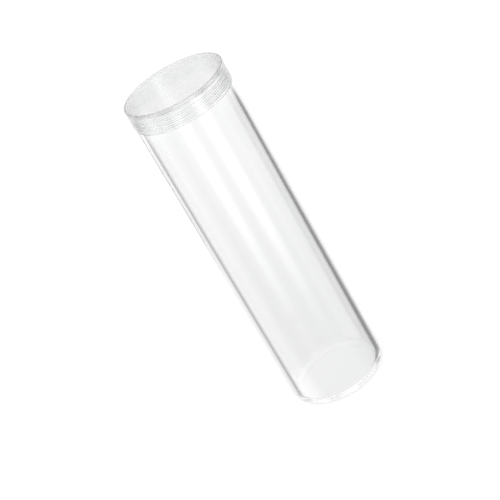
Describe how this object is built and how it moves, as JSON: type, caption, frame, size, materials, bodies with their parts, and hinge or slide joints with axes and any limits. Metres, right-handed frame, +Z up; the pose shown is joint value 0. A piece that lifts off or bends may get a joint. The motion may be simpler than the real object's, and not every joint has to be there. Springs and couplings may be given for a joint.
{
  "type": "coin tube",
  "caption": "Clear round storage tube for coins with a closed, rounded base and a low frosted screw-on cap.",
  "frame": {"origin": "middle of the flat underside of the tube's base, where it stands", "axes": "+Z up the tube's axis to the cap; +X and +Y in the plane that it stands on"},
  "size_m": [0.031, 0.031, 0.109],
  "materials": {
    "clear_polystyrene": "clear, polished",
    "frosted_polyethylene": "translucent, satin",
    "disc_polyethylene": "translucent, satin"
  },
  "bodies": {
    "tube": {"tube": "clear_polystyrene"},
    "liner": {"sealing_disc": "disc_polyethylene"},
    "cap": {"cap": "frosted_polyethylene"}
  },
  "joints": [
    {"name": "cap_lift", "type": "slide", "parent": "tube", "child": "liner", "axis": [0, 0, 1], "range_m": [0, 0.0078]},
    {"name": "cap_turn", "type": "hinge", "parent": "liner", "child": "cap", "pos_m": [0, 0, 0.1057], "axis": [0, 0, 1], "range_deg": [0, 2160]}
  ],
  "couplings": [
    {"joint": "cap_lift", "follows": "cap_turn", "m_per_rad": 0.0002069}
  ]
}
